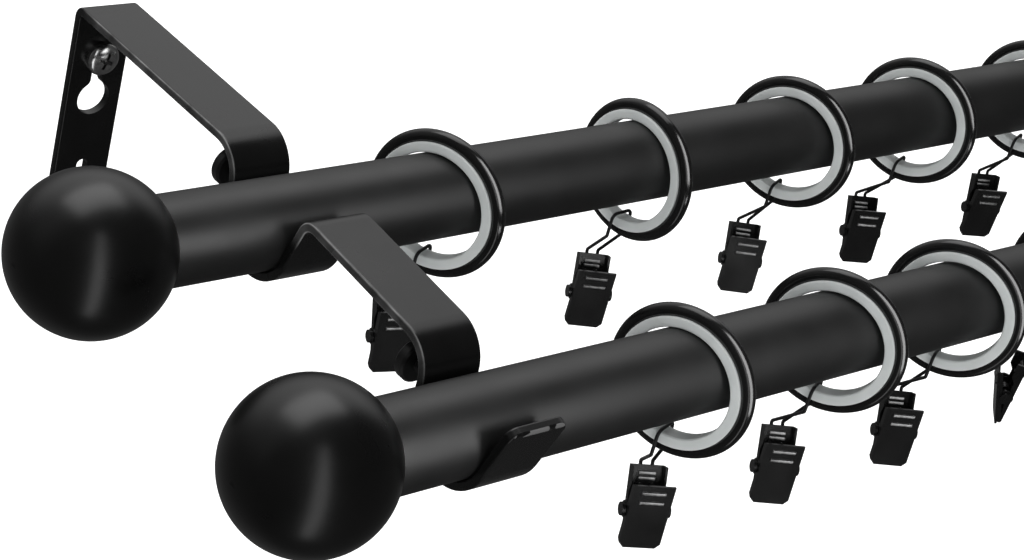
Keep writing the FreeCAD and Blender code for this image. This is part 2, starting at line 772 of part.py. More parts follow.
# Front jaw: drawn upright about the pin, then leant until its foot meets the back jaw
clip_front = new_body("clip_front_master")
add_pad(
    clip_front,
    "front_plate",
    "XZ_Plane",
    plate_outline(front_half, jaw_top, clip_foot),
    "Sizes.sheet_thickness",
    offset=front_face,
)
jaw_back = -front_face + size("jaw_flange_depth")
jaw_ear = size("jaw_ear_radius")
ear_rise = math.sqrt(jaw_ear ** 2 - jaw_back ** 2)
front_flange = [
    line((-front_face, flange_foot), (jaw_back, flange_foot + sheet_metal)),
    line((jaw_back, flange_foot + sheet_metal), (jaw_back, -ear_rise)),
    arc((jaw_back, -ear_rise), (jaw_ear, 0), (jaw_back, ear_rise)),
    line((jaw_back, ear_rise), (jaw_back, jaw_top - sheet_metal)),
    line((jaw_back, jaw_top - sheet_metal), (-front_face, jaw_top)),
    line((-front_face, jaw_top), (-front_face, flange_foot)),
]
for side, offset in (("left", -front_half), ("right", front_half - sheet_metal)):
    name = f"front_flange_{side}"
    add_pad(clip_front, name, "YZ_Plane", front_flange, "Sizes.sheet_thickness", offset=offset)
for number in range(2):
    add_pad(
        clip_front,
        f"front_bar_{number + 1}",
        "XZ_Plane",
        bar_outline(jaw_top - size("bar_first") - number * size("bar_pitch"), size("bar_length")),
        "Sizes.bar_height",
        offset=front_face + sheet_metal,
    )
add_pocket(
    clip_front,
    "pin_hole",
    "YZ_Plane",
    [circle((0, 0), pin_radius + size("pin_clearance"))],
    "Sizes.clip_width",
    offset=-front_half,
    turned=True,
)
jaw_reach = math.hypot(clip_foot, front_face)
closed_set = back_face - size("jaw_gap")
jaw_lean = math.degrees(math.asin(closed_set / jaw_reach) + math.atan2(front_face, clip_foot))

# The torsion spring: coils round the pin with a leg along the back jaw
spring_radius = size("spring_wire") / 2
coil_inner = pin_radius + size("spring_clearance")
coil_middle = coil_inner + spring_radius
coil_pitch = size("spring_wire")
turns = int(size("spring_turns"))
coil_start = -turns * coil_pitch / 2
coil_edges = []
for turn in range(turns):
    a = coil_start + turn * coil_pitch
    b = a + coil_pitch
    coil_edges.append(arc((a, coil_middle), ((a + b) / 2, coil_middle + spring_radius), (b, coil_middle)))
coil_end = coil_start + turns * coil_pitch
coil_edges.append(line((coil_end, coil_middle), (coil_end, coil_inner)))
coil_edges.append(line((coil_end, coil_inner), (coil_start, coil_inner)))
coil_edges.append(line((coil_start, coil_inner), (coil_start, coil_middle)))
spring_master = new_body("spring_master")
add_turning(spring_master, "spring_coils", coil_edges)
add_pad(
    spring_master,
    "spring_back_leg",
    "XY_Plane",
    [circle((coil_start + spring_radius, coil_middle), spring_radius)],
    "Sizes.spring_leg",
)

# The spring's other leg presses on the front jaw and moves with it
front_leg = new_body("spring_front_leg_master")
leg_set = front_face - spring_radius - size("spring_seat")
leg_start = math.sqrt(max((coil_middle + 2 * spring_radius) ** 2 - leg_set ** 2, 0.0))
add_pad(
    front_leg,
    "spring_front_leg",
    "XY_Plane",
    [circle((-coil_start - spring_radius, -leg_set), spring_radius)],
    f"Sizes.spring_leg - {leg_start}",
    offset=leg_start,
)

# The hook: one wire over the ring's foot, with both feet through the clip's back plate


def rounded_path(points, radii):
    """Straight runs joined by tangent arcs at the inner points."""
    edges = []
    last = points[0]
    for before, corner, after, radius in zip(points, points[1:], points[2:], radii):
        way_in = (corner - before).normalize()
        way_out = (after - corner).normalize()
        turn = way_in.getAngle(way_out)
        setback = radius * math.tan(turn / 2)
        start = corner - way_in * setback
        end = corner + way_out * setback
        inward = (way_out - way_in).normalize()
        middle = corner + inward * (radius / math.cos(turn / 2) - radius)
        edges.append(Part.LineSegment(last, start).toShape())
        edges.append(Part.Arc(start, middle, end).toShape())
        last = end
    edges.append(Part.LineSegment(last, points[-1]).toShape())
    return Part.Wire(edges)


hook_radius = size("hook_wire") / 2
hook_top = -liner_radius + size("hook_gap") + hook_radius


def clip_stance(turn, tilt, set_back, drop):
    """The clip's pin and lean in the ring's frame."""
    lean_back = Rotation(Z_AXIS, turn).multiply(Rotation(X_AXIS, -tilt))
    return Placement(Vector(0, set_back, -size("ring_diameter") / 2 - drop), lean_back)


def hook_shape(stance):
    """The hook in the ring's frame: over the ring's foot, then behind the clip and in through its plate."""
    outer = back_face + sheet_metal + size("seat_gap") + hook_radius
    inner = back_face - size("hook_foot_length")
    turned_about = stance.Rotation.multVec(X_AXIS).x < 0
    half = -size("hook_width") / 2 if turned_about else size("hook_width") / 2
    knee = -size("ring_diameter") / 2 - hook_radius
    neck = clip_top + size("hook_wire")
    legs = []
    for side in (-1, 1):
        route = [(inner, hole_height), (outer, hole_height), (outer, neck)]
        leg = [stance.multVec(Vector(side * foot_half, *point)) for point in route]
        leg.append(Vector(side * half, 0, knee))
        leg.append(Vector(side * half, 0, hook_top))
        legs.append(leg)
    points = legs[0] + legs[1][::-1]
    bend = size("hook_bend")
    tight = size("hook_foot_bend")
    leg_bends = [tight, bend, bend, size("hook_corner")]
    path = rounded_path(points, leg_bends + leg_bends[::-1])
    start = path.OrderedEdges[0]
    way = start.tangentAt(start.FirstParameter)
    section = Part.Wire(Part.Circle(points[0], way, hook_radius).toShape())
    return path.makePipeShell([section], True, False)


for pole, (axis, shift) in POLES.items():
    for number in range(1, len(RING_LAYOUT[pole]) + 1):
        name = f"{pole}_{number}"
        place = size(f"{pole}_ring_{number}_place") - half_span
        turn = size(f"{pole}_ring_{number}_turn")
        stance = clip_stance(
            size(f"{pole}_clip_{number}_turn") - turn,
            size(f"{pole}_clip_{number}_tilt"),
            size(f"{pole}_clip_{number}_set"),
            size(f"{pole}_clip_{number}_drop"),
        )
        middle = axis + Vector(place, 0, ring_hang(turn))
        hung = Placement(middle, Rotation(Z_AXIS, turn))
        add_copy(ring_master, f"ring_{name}", hung)
        add_copy(liner_master, f"liner_{name}", hung)
        hook = doc.addObject("Part::Feature", f"hook_{name}")
        hook.Label = f"hook_{name}"
        hook.Shape = hook_shape(stance)
        hook.Placement = hung
        nodes.append(hook)
        clip_place = hung.multiply(stance)
        leant = clip_place.multiply(Placement(Vector(0, 0, 0), Rotation(X_AXIS, jaw_lean)))
        add_pieces([clip_back, spring_master], f"clip_back_{name}", clip_place)
        add_pieces([clip_front, front_leg], f"clip_front_{name}", leant)

doc.recompute()

# Every object has to be sound before anything is written
for item in doc.Objects:
    if "Invalid" in item.State or "Error" in item.State:
        raise RuntimeError(f"{item.Name} failed: {item.State}")
for node in nodes:
    if node.Shape.isNull() or not node.Shape.isValid():
        raise RuntimeError(f"{node.Label} has no valid shape")
os.makedirs("parts", exist_ok=True)
for node in nodes:
    node.Shape.exportStep(os.path.join("parts", node.Label + ".step"))
print(len(nodes), "pieces")
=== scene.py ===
# A double curtain pole in black, seen from its left end, on a plain white sweep.
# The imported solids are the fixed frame, and each section below finishes one piece,
# in the order in which the pole is put together.

import json
import math

import bmesh
import bpy
from mathutils import Matrix, Vector


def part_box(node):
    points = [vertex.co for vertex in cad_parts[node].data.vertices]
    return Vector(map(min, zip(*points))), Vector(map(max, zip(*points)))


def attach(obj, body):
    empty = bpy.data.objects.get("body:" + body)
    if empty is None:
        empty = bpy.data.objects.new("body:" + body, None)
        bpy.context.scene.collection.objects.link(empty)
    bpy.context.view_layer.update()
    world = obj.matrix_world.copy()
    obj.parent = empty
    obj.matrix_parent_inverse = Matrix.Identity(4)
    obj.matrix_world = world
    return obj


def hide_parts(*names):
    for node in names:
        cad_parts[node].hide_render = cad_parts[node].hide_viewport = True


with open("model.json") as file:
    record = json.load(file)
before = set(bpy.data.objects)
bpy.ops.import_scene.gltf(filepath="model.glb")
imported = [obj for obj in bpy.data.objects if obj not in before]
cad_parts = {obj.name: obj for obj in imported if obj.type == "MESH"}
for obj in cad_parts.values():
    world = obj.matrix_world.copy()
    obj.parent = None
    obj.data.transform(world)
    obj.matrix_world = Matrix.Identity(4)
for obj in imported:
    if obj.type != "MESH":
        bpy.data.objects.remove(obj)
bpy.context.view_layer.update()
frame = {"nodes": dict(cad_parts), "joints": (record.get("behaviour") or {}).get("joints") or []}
nodes = frame["nodes"]
bpy.ops.object.select_all(action="DESELECT")

# The two poles: steel tubes, stove enamelled satin black, with a soft wide shine.
# They lie in the brackets' cradles and carry the rings.

POLE_RADIUS = 0.014
POLE_WALL = 0.0012
POLE_FACETS = 128
POLE_RIM = 0.00025


def blank_finish(name):
    """A new material with its node tree and its shader."""
    material = bpy.data.materials.new(name)
    material.use_nodes = True
    tree = material.node_tree
    return material, tree, tree.nodes["Principled BSDF"]


def mottle(tree, per_metre, detail=2.0):
    """Soft random patches fixed to the piece, so many to the metre."""
    place = tree.nodes.new("ShaderNodeTexCoord")
    patches = tree.nodes.new("ShaderNodeTexNoise")
    patches.inputs["Scale"].default_value = per_metre
    patches.inputs["Detail"].default_value = detail
    tree.links.new(place.outputs["Object"], patches.inputs["Vector"])
    return patches.outputs["Fac"]


def between(tree, source, low, high):
    """The patches as a number from low to high."""
    spread = tree.nodes.new("ShaderNodeMapRange")
    spread.inputs["From Min"].default_value = 0.3
    spread.inputs["From Max"].default_value = 0.7
    spread.inputs["To Min"].default_value = low
    spread.inputs["To Max"].default_value = high
    tree.links.new(source, spread.inputs["Value"])
    return spread.outputs["Result"]


def tinted(tree, source, dark, light):
    """The patches as a colour from dark to light."""
    ramp = tree.nodes.new("ShaderNodeValToRGB")
    ramp.color_ramp.elements[0].position = 0.3
    ramp.color_ramp.elements[0].color = (*dark, 1)
    ramp.color_ramp.elements[1].position = 0.7
    ramp.color_ramp.elements[1].color = (*light, 1)
    tree.links.new(source, ramp.inputs["Fac"])
    return ramp.outputs["Color"]


def grain(tree, shader, source, depth):
    """The patches as a relief of that depth."""
    relief = tree.nodes.new("ShaderNodeBump")
    relief.inputs["Distance"].default_value = depth
    tree.links.new(source, relief.inputs["Height"])
    tree.links.new(relief.outputs["Normal"], shader.inputs["Normal"])


def black_coat(name, dark, light, gloss, peel_per_metre, peel_depth):
    """A black coat with slightly uneven depth and gloss, and a fine peel."""
    material, tree, shader = blank_finish(name)
    cloud = mottle(tree, 60)
    tree.links.new(tinted(tree, cloud, (dark,) * 3, (light,) * 3), shader.inputs["Base Color"])
    tree.links.new(between(tree, cloud, gloss - 0.03, gloss + 0.03), shader.inputs["Roughness"])
    grain(tree, shader, mottle(tree, peel_per_metre), peel_depth)
    return material


pole_enamel = black_coat(
    "pole_enamel", dark=0.004, light=0.006, gloss=0.48, peel_per_metre=900, peel_depth=0.000004
)


def apply_modifiers(piece):
    """Applies every modifier of a piece, in order."""
    bpy.context.view_layer.objects.active = piece
    for modifier in list(piece.modifiers):
        bpy.ops.object.modifier_apply(modifier=modifier.name)


tubes = []
for pole in ("back_pole", "front_pole"):
    low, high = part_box(pole)
    bpy.ops.mesh.primitive_cylinder_add(
        vertices=POLE_FACETS,
        radius=POLE_RADIUS,
        depth=high.x - low.x,
        end_fill_type="NOTHING",
        location=(low + high) / 2,
        rotation=(0, math.pi / 2, 0),
    )
    tube = bpy.context.object
    tube.name = f"{pole}_tube"
    bpy.ops.object.transform_apply(location=True, rotation=True, scale=True)
    wall = tube.modifiers.new("wall", "SOLIDIFY")
    wall.thickness = POLE_WALL
    wall.offset = -1
    rim = tube.modifiers.new("rim", "BEVEL")
    rim.width = POLE_RIM
    rim.segments = 2
    rim.limit_method = "ANGLE"
    apply_modifiers(tube)
    bpy.ops.object.shade_smooth_by_angle(angle=math.radians(40))
    tube.data.materials.append(pole_enamel)
    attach(tube, "rail")
    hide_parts(pole)
    tube.select_set(False)
    tubes.append(tube)

# The four ball finials: moulded balls in satin black plastic.
# Each has a plug that is pushed into the end of its tube.


def finish_node(name, material):
    """Gives a carried-over solid its finish."""
    node = nodes[name]
    if not node.material_slots:
        node.data.materials.append(material)
    for place in node.material_slots:
        place.material = material


ball_satin = black_coat(
    "ball_satin", dark=0.0008, light=0.0014, gloss=0.30, peel_per_metre=700, peel_depth=0.000003
)
for pole in ("back", "front"):
    for end in ("left", "right"):
        finish_node(f"{pole}_{end}_finial", ball_satin)

# The two brackets: one steel strip each, bent cold into a wall plate, two arms and two cradles.
# They are powder coated after bending. The arms carry a painted highlight along their arrises
# and a fainter painted sheen on their edge faces, both in patches like wear,
# and the front edge of the lip carries painted glints in patches like chipped coat.

EDGE_ROUND = 0.0007
ARRIS_START = 0.35
ARRIS_PEAK = 0.75
# The arris grey is a painted highlight and the edge grey a painted sheen, not the coat's own colour.
ARRIS_HIGHLIGHT_GREY = 0.26
EDGE_SHEEN_GREY = 0.05
HIGHLIGHT_PATCHES_PER_METRE = 110
PLATE_FRONT = -0.004
ARM_START = -0.014
HIGHLIGHT_FOOT = 0.004
HIGHLIGHT_FULL = 0.010
LIP_CLEAR = 0.010
# The chip grey is a painted glint along the lip's front edge, laid in patches like chipped coat.
CHIP_GLINT_GREY = 0.11
CHIPS_PER_METRE = 220
CHIP_NONE = 0.45
CHIP_FULL = 0.51
CHIP_DEPTH = 0.0005


def reckoned(tree, operation, first, second):
    """A sum on a socket and a socket or a number."""
    step = tree.nodes.new("ShaderNodeMath")
    step.operation = operation
    tree.links.new(first, step.inputs[0])
    if isinstance(second, bpy.types.NodeSocket):
        tree.links.new(second, step.inputs[1])
    else:
        step.inputs[1].default_value = second
    return step.outputs["Value"]


def share(tree, source, none, full):
    """From 0 where the source is none to 1 where it is full."""
    spread = tree.nodes.new("ShaderNodeMapRange")
    spread.inputs["From Min"].default_value = none
    spread.inputs["From Max"].default_value = full
    tree.links.new(source, spread.inputs["Value"])
    return spread.outputs["Result"]


def lighten_coat(tree, shader, amount, colour):
    """Adds a lighter colour to the coat by the given amount: painted highlights and glints on the
    bracket.
    """
    lightening = tree.nodes.new("ShaderNodeMixRGB")
    lightening.blend_type = "ADD"
    tree.links.new(amount, lightening.inputs["Fac"])
    tree.links.new(shader.inputs["Base Color"].links[0].from_socket, lightening.inputs["Color1"])
    tree.links.new(colour, lightening.inputs["Color2"])
    tree.links.new(lightening.outputs["Color"], shader.inputs["Base Color"])


def position(tree):
    """The x, y and z of a point on the piece."""
    place = tree.nodes.new("ShaderNodeTexCoord")
    split = tree.nodes.new("ShaderNodeSeparateXYZ")
    tree.links.new(place.outputs["Object"], split.inputs["Vector"])
    return split.outputs


def paint_arm_highlights(tree, shader, low, high):
    """Paints a highlight on the arrises of the arms and a fainter sheen on their edge faces, in patches
    like wear.
    """
    across, along, height = position(tree)
    from_centre = reckoned(tree, "ABSOLUTE", across, 0)
    reach = reckoned(tree, "ABSOLUTE", reckoned(tree, "SUBTRACT", from_centre, (low.x + high.x) / 2), 0)
    half_width = (high.x - low.x) / 2
    # The ramp paints the highlight on the rounded arris and a fainter painted sheen on the flat edge
    # face.
    edge_ramp = tree.nodes.new("ShaderNodeValToRGB")
    tree.links.new(share(tree, reach, half_width - EDGE_ROUND, half_width), edge_ramp.inputs["Fac"])
    steps = edge_ramp.color_ramp.elements
    steps[0].position = ARRIS_START
    steps[0].color = (0, 0, 0, 1)
    steps[1].position = 1.0
    steps[1].color = (EDGE_SHEEN_GREY, EDGE_SHEEN_GREY, EDGE_SHEEN_GREY, 1)
    steps.new(ARRIS_PEAK).color = (ARRIS_HIGHLIGHT_GREY, ARRIS_HIGHLIGHT_GREY, ARRIS_HIGHLIGHT_GREY, 1)

    back, front = [sum(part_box(pole), Vector()) / 2 for pole in ("back_pole", "front_pole")]
    slope = (back.z - front.z) / (back.y - front.y)
    pole_line = back.z - slope * back.y
    over_poles = reckoned(tree, "SUBTRACT", height, reckoned(tree, "MULTIPLY", along, slope))
    highlight_amount = between(tree, mottle(tree, HIGHLIGHT_PATCHES_PER_METRE), 0.15, 1.0)
    for limit in (
        share(tree, over_poles, pole_line + HIGHLIGHT_FOOT, pole_line + HIGHLIGHT_FULL),
        share(tree, along, PLATE_FRONT, ARM_START),
        share(tree, along, front.y - LIP_CLEAR, front.y),
    ):
        highlight_amount = reckoned(tree, "MULTIPLY", highlight_amount, limit)
    lighten_coat(tree, shader, highlight_amount, edge_ramp.outputs["Color"])


def paint_lip_glints_and_chips(tree, shader, low):
    """Paints glints on the front edge of the lip, in patches like chipped coat."""
    lip_front = share(tree, position(tree)["Y"], low.y + CHIP_DEPTH, low.y + CHIP_DEPTH / 2)
    glints_and_chips = share(tree, mottle(tree, CHIPS_PER_METRE), CHIP_NONE, CHIP_FULL)
    glints_and_chips = reckoned(tree, "MULTIPLY", glints_and_chips, lip_front)
    lighten_coat(tree, shader, glints_and_chips, tinted(tree, glints_and_chips, (0, 0, 0), (CHIP_GLINT_GREY,) * 3))


bracket_powder = black_coat(
    "bracket_powder", dark=0.0018, light=0.003, gloss=0.26, peel_per_metre=1400, peel_depth=0.000004
)
powder_tree = bracket_powder.node_tree
powder_shader = powder_tree.nodes["Principled BSDF"]
bracket_low, bracket_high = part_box("right_bracket")
paint_arm_highlights(powder_tree, powder_shader, bracket_low, bracket_high)
paint_lip_glints_and_chips(powder_tree, powder_shader, bracket_low)
for side in ("left", "right"):
    finish_node(f"{side}_bracket", bracket_powder)

# The four locking screws: black thumb screws with a plain disc head, threaded through the cradles' backs.
# Each is turned by hand until its tip holds the pole still.

LOCK_TIP = 0.01415
LOCK_HEAD_START = 0.028
LOCK_HEAD_END = 0.032
LOCK_HEAD_RADIUS = 0.0067
LOCK_SHANK_RADIUS = 0.0025
LOCK_THREAD_DEPTH = 0.0003
LOCK_PITCH = 0.0008
LOCK_RISE = 0.0022
LOCK_EDGE = 0.0007
LOCK_DISH_RIM = 0.0047
LOCK_DISH_FOOT = 0.0042
ROOT_COVER = 0.00003
HEAD_FACETS = 64
SHANK_FACETS = 32
THREAD_STEPS = 24
TO_WALL = Matrix.Rotation(math.radians(-90), 4, "X")


def select_vertices(piece, wanted):
    """In edit mode, selects only the vertices that answer to wanted."""
    mesh = bmesh.from_edit_mesh(piece.data)
    for element in (*mesh.verts, *mesh.edges, *mesh.faces):
        element.select = False
    for vertex in mesh.verts:
        vertex.select = wanted(vertex.co)
    mesh.select_flush_mode()
    bmesh.update_edit_mesh(piece.data)


def drawn_line(name, points):
    """A line of edges through points (radius, height), drawn by extruding one point."""
    bpy.ops.mesh.primitive_plane_add(size=0.001, location=(0, 0, 0))
    piece = bpy.context.object
    piece.name = name
    bpy.ops.object.mode_set(mode="EDIT")
    bpy.ops.mesh.select_mode(type="VERT")
    bpy.ops.mesh.select_all(action="SELECT")
    bpy.ops.mesh.merge(type="CENTER")
    last = Vector((0, 0, 0))
    for number, (radius, height) in enumerate(points):
        here = Vector((radius, 0, height))
        if number == 0:
            bpy.ops.transform.translate(value=here - last)
        else:
            bpy.ops.mesh.extrude_region_move(TRANSFORM_OT_translate={"value": here - last})
        last = here
    bpy.ops.object.mode_set(mode="OBJECT")
    return piece


def turned(piece, steps, rise=0.0, rounds=1):
    """Turns a drawn line about Z, climbing by rise in each round for a thread."""
    lathe = piece.modifiers.new("lathe", "SCREW")
    lathe.axis = "Z"
    lathe.angle = math.tau
    lathe.steps = steps
    lathe.render_steps = steps
    lathe.screw_offset = rise
    lathe.iterations = rounds
    lathe.use_merge_vertices = rise == 0.0
    lathe.merge_threshold = 0.000001
    apply_modifiers(piece)
    bpy.ops.object.mode_set(mode="EDIT")
    bpy.ops.mesh.select_all(action="SELECT")
    bpy.ops.mesh.remove_doubles(threshold=0.000001)
    bpy.ops.mesh.normals_make_consistent(inside=False)
    bpy.ops.object.mode_set(mode="OBJECT")


def thread(name, crest, depth, pitch, start, rounds):
    """A helical thread from a start height."""
    ridge = [(crest - depth, start), (crest, start + pitch / 2), (crest - depth, start + pitch)]
    piece = drawn_line(name, ridge)
    turned(piece, THREAD_STEPS, rise=pitch, rounds=rounds)
    return piece


def joined(pieces, name):
    """Joins pieces into the first of them."""
    bpy.ops.object.select_all(action="DESELECT")
    for piece in pieces:
        piece.select_set(True)
    bpy.context.view_layer.objects.active = pieces[0]
    bpy.ops.object.join()
    pieces[0].name = name
    pieces[0].data.name = name
    pieces[0].select_set(False)
    return pieces[0]


def placed_copy(piece, name, place):
    """A copy with a mesh of its own, moved to its place in the mesh."""
    copy = piece.copy()
    copy.data = piece.data.copy()
    copy.name = name
    copy.data.name = name
    copy.data.transform(place)
    bpy.context.scene.collection.objects.link(copy)
    return copy


lock_head = drawn_line("lock_head", [
    (0, LOCK_HEAD_START),
    (LOCK_HEAD_RADIUS - LOCK_EDGE, LOCK_HEAD_START),
    (LOCK_HEAD_RADIUS, LOCK_HEAD_START + LOCK_EDGE),
    (LOCK_HEAD_RADIUS, LOCK_HEAD_END - LOCK_EDGE),
    (LOCK_HEAD_RADIUS - LOCK_EDGE, LOCK_HEAD_END),
    (LOCK_DISH_RIM, LOCK_HEAD_END),
    (LOCK_DISH_FOOT, LOCK_HEAD_END - LOCK_EDGE / 2),
    (0, LOCK_HEAD_END - LOCK_EDGE / 2),
])
turned(lock_head, HEAD_FACETS)
lock_turns = int((LOCK_HEAD_START - LOCK_TIP) / LOCK_PITCH) - 1
lock_thread = thread(
    "lock_thread", LOCK_SHANK_RADIUS, LOCK_THREAD_DEPTH, LOCK_PITCH, LOCK_TIP + LOCK_PITCH / 2, lock_turns
)
lock_core_radius = LOCK_SHANK_RADIUS - LOCK_THREAD_DEPTH
lock_core = drawn_line("lock_core", [
    (0, LOCK_TIP),
    (lock_core_radius - LOCK_EDGE / 2, LOCK_TIP),
    (lock_core_radius + ROOT_COVER, LOCK_TIP + LOCK_EDGE),
    (lock_core_radius + ROOT_COVER, LOCK_HEAD_START + LOCK_EDGE / 2),
    (0, LOCK_HEAD_START + LOCK_EDGE / 2),
])
turned(lock_core, SHANK_FACETS)
lock_screw = joined([lock_head, lock_thread, lock_core], "lock_screw")
lock_black = black_coat(
    "lock_black", dark=0.004, light=0.008, gloss=0.34, peel_per_metre=1500, peel_depth=0.000004
)
lock_screw.data.materials.append(lock_black)
bracket_boxes = [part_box(f"{side}_bracket") for side in ("left", "right")]
bracket_places = [(low.x + high.x) / 2 for low, high in bracket_boxes]
lock_copies = []
for pole in ("back_pole", "front_pole"):
    low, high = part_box(pole)
    middle = (low + high) / 2
    for number, place in enumerate(bracket_places):
        seat = Vector((place, middle.y, middle.z + LOCK_RISE))
        name = f"{pole}_lock_{number + 1}"
        lock_copies.append(placed_copy(lock_screw, name, Matrix.Translation(seat) @ TO_WALL))
bpy.data.objects.remove(lock_screw)
lock_screws = joined(lock_copies, "thumb_screws")
bpy.context.view_layer.objects.active = lock_screws
lock_screws.select_set(True)
bpy.ops.object.shade_smooth_by_angle(angle=math.radians(32))
lock_screws.select_set(False)
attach(lock_screws, "rail")
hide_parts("lock_screws")

# The two wall screws: bright zinc wood screws with a domed pan head and a cross recess.
# They stand in the upper keyholes and hold the brackets to the wall.

PAN_RADIUS = 0.0058
PAN_SEAT = -0.00305
PAN_TOP = -0.00725
PAN_RIM = 0.0020
SCREW_NECK = 0.0017
SCREW_CREST = 0.002
SCREW_THREAD_DEPTH = 0.0006
SCREW_PITCH = 0.0016
SCREW_POINT_START = 0.005
SCREW_END = 0.009
RECESS_WIDTH = 0.0076
RECESS_SLOT = 0.0016
RECESS_DEPTH = 0.0026
RECESS_TURN = 20
RECESS_FOOT = (0.45, 0.6, 1)
DOME_STEPS = 8

dome = []
for step in range(DOME_STEPS + 1):
    lean = math.radians(90 * step / DOME_STEPS)
    rise = (PAN_SEAT - PAN_RIM - PAN_TOP) * math.cos(lean)
    dome.append((PAN_RADIUS * math.sin(lean), PAN_SEAT - PAN_RIM - rise))
pan = drawn_line("pan_head", [*dome, (PAN_RADIUS, PAN_SEAT), (0, PAN_SEAT)])
turned(pan, HEAD_FACETS)
for number in range(2):
    bpy.ops.mesh.primitive_cube_add(size=1, location=(0, 0, PAN_TOP))
    cutter = bpy.context.object
    cutter.scale = (RECESS_WIDTH, RECESS_SLOT, 2 * RECESS_DEPTH)
    cutter.rotation_euler = (0, 0, math.radians(RECESS_TURN + 90 * number))
    bpy.ops.object.transform_apply(location=True, rotation=True, scale=True)
    bpy.ops.object.mode_set(mode="EDIT")
    select_vertices(cutter, lambda point: point.z > PAN_TOP)
    bpy.ops.transform.resize(value=RECESS_FOOT, center_override=(0, 0, PAN_TOP + RECESS_DEPTH))
    bpy.ops.object.mode_set(mode="OBJECT")
    recess = pan.modifiers.new("recess", "BOOLEAN")
    recess.operation = "DIFFERENCE"
    recess.object = cutter
    apply_modifiers(pan)
    bpy.data.objects.remove(cutter)
screw_core_radius = SCREW_CREST - SCREW_THREAD_DEPTH
screw_core = drawn_line("screw_core", [
    (0, PAN_SEAT - PAN_RIM / 2),
    (SCREW_NECK, PAN_SEAT - PAN_RIM / 2),
    (SCREW_NECK, 0),
    (screw_core_radius + ROOT_COVER, 0),
    (screw_core_radius + ROOT_COVER, SCREW_POINT_START),
    (0, SCREW_END),
])
turned(screw_core, SHANK_FACETS)
screw_turns = int(SCREW_POINT_START / SCREW_PITCH) - 1
screw_thread = thread("screw_thread", SCREW_CREST, SCREW_THREAD_DEPTH, SCREW_PITCH, 0, screw_turns)
wall_screw = joined([pan, screw_core, screw_thread], "wall_screw")

bright_zinc, zinc_tree, zinc_shader = blank_finish("bright_zinc")
zinc_shader.inputs["Metallic"].default_value = 1.0
zinc_cloud = mottle(zinc_tree, 500, 3.0)
zinc_colour = tinted(zinc_tree, zinc_cloud, (0.42, 0.42, 0.43), (0.72, 0.72, 0.71))
zinc_tree.links.new(zinc_colour, zinc_shader.inputs["Base Color"])
zinc_tree.links.new(between(zinc_tree, zinc_cloud, 0.14, 0.26), zinc_shader.inputs["Roughness"])
grain(zinc_tree, zinc_shader, mottle(zinc_tree, 1200), 0.00001)
wall_screw.data.materials.append(bright_zinc)
screw_copies = [
    placed_copy(wall_screw, f"wall_screw_{number + 1}", Matrix.Translation((place, 0, 0)) @ TO_WALL)
    for number, place in enumerate(bracket_places)
]
bpy.data.objects.remove(wall_screw)
wall_screws = joined(screw_copies, "zinc_wall_screws")
wall_screws.select_set(True)
bpy.context.view_layer.objects.active = wall_screws
bpy.ops.object.shade_smooth_by_angle(angle=math.radians(32))
wall_screws.select_set(False)
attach(wall_screws, "rail")
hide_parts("wall_screws")

# The ten rings: round steel wire, bent to a circle, welded and dipped in gloss black enamel.
# They hang on the poles and slide along them.

RING_TAGS = [f"{pole}_{number}" for pole in ("back", "front") for number in range(1, 6)]

ring_gloss = black_coat(
    "ring_gloss", dark=0.004, light=0.006, gloss=0.16, peel_per_metre=500, peel_depth=0.000004
)
for tag in RING_TAGS:
    finish_node(f"ring_{tag}", ring_gloss)

# The ten liners: moulded nylon hoops, pressed into the rings so that they glide quietly on the pole.
# The nylon is a cool translucent grey.

liner_nylon, nylon_tree, nylon_shader = blank_finish("liner_nylon")
nylon_cloud = mottle(nylon_tree, 90)
nylon_colour = tinted(nylon_tree, nylon_cloud, (0.48, 0.505, 0.50), (0.56, 0.585, 0.58))
nylon_tree.links.new(nylon_colour, nylon_shader.inputs["Base Color"])
nylon_tree.links.new(between(nylon_tree, nylon_cloud, 0.36, 0.46), nylon_shader.inputs["Roughness"])
nylon_shader.inputs["Subsurface Weight"].default_value = 0.8
nylon_shader.inputs["Subsurface Radius"].default_value = (1, 1, 1)
nylon_shader.inputs["Subsurface Scale"].default_value = 0.004
grain(nylon_tree, nylon_shader, mottle(nylon_tree, 800), 0.000005)
for tag in RING_TAGS:
    finish_node(f"liner_{tag}", liner_nylon)

# The ten hooks: spring wire, blacked.
# Each is bent over the foot of its ring and in through the back jaw of its clip.

hook_black = black_coat(
    "hook_black", dark=0.004, light=0.007, gloss=0.28, peel_per_metre=1500, peel_depth=0.000004
)
for tag in RING_TAGS:
    finish_node(f"hook_{tag}", hook_black)

# The ten clips: two jaws pressed from sheet steel on a riveted pin, with a coiled spring between them.
# They are enamelled gloss black, and the raised grip bars are rubbed back to the steel.

clip_gloss = black_coat(
    "clip_gloss", dark=0.004, light=0.007, gloss=0.22, peel_per_metre=900, peel_depth=0.000005
)
for tag in RING_TAGS:
    finish_node(f"clip_back_{tag}", clip_gloss)
    finish_node(f"clip_front_{tag}", clip_gloss)

CLIP_TILTS = {
    "back_1": 24, "back_2": 20, "back_3": 24, "back_4": 24, "back_5": 16,
    "front_1": 24, "front_2": 24, "front_3": 24, "front_4": 4, "front_5": 24,
}
JAW_LEAN = 20.18
BAR_WIDTH = 0.0012
BAR_STAND = 0.0004
BAR_COVER = 0.00006
FRONT_BARS = {"length": 0.0084, "face": -0.0034, "heights": (0.0080, 0.0046)}
BACK_BARS = {"length": 0.0060, "face": 0.0020, "heights": (0.0113, 0.0096)}

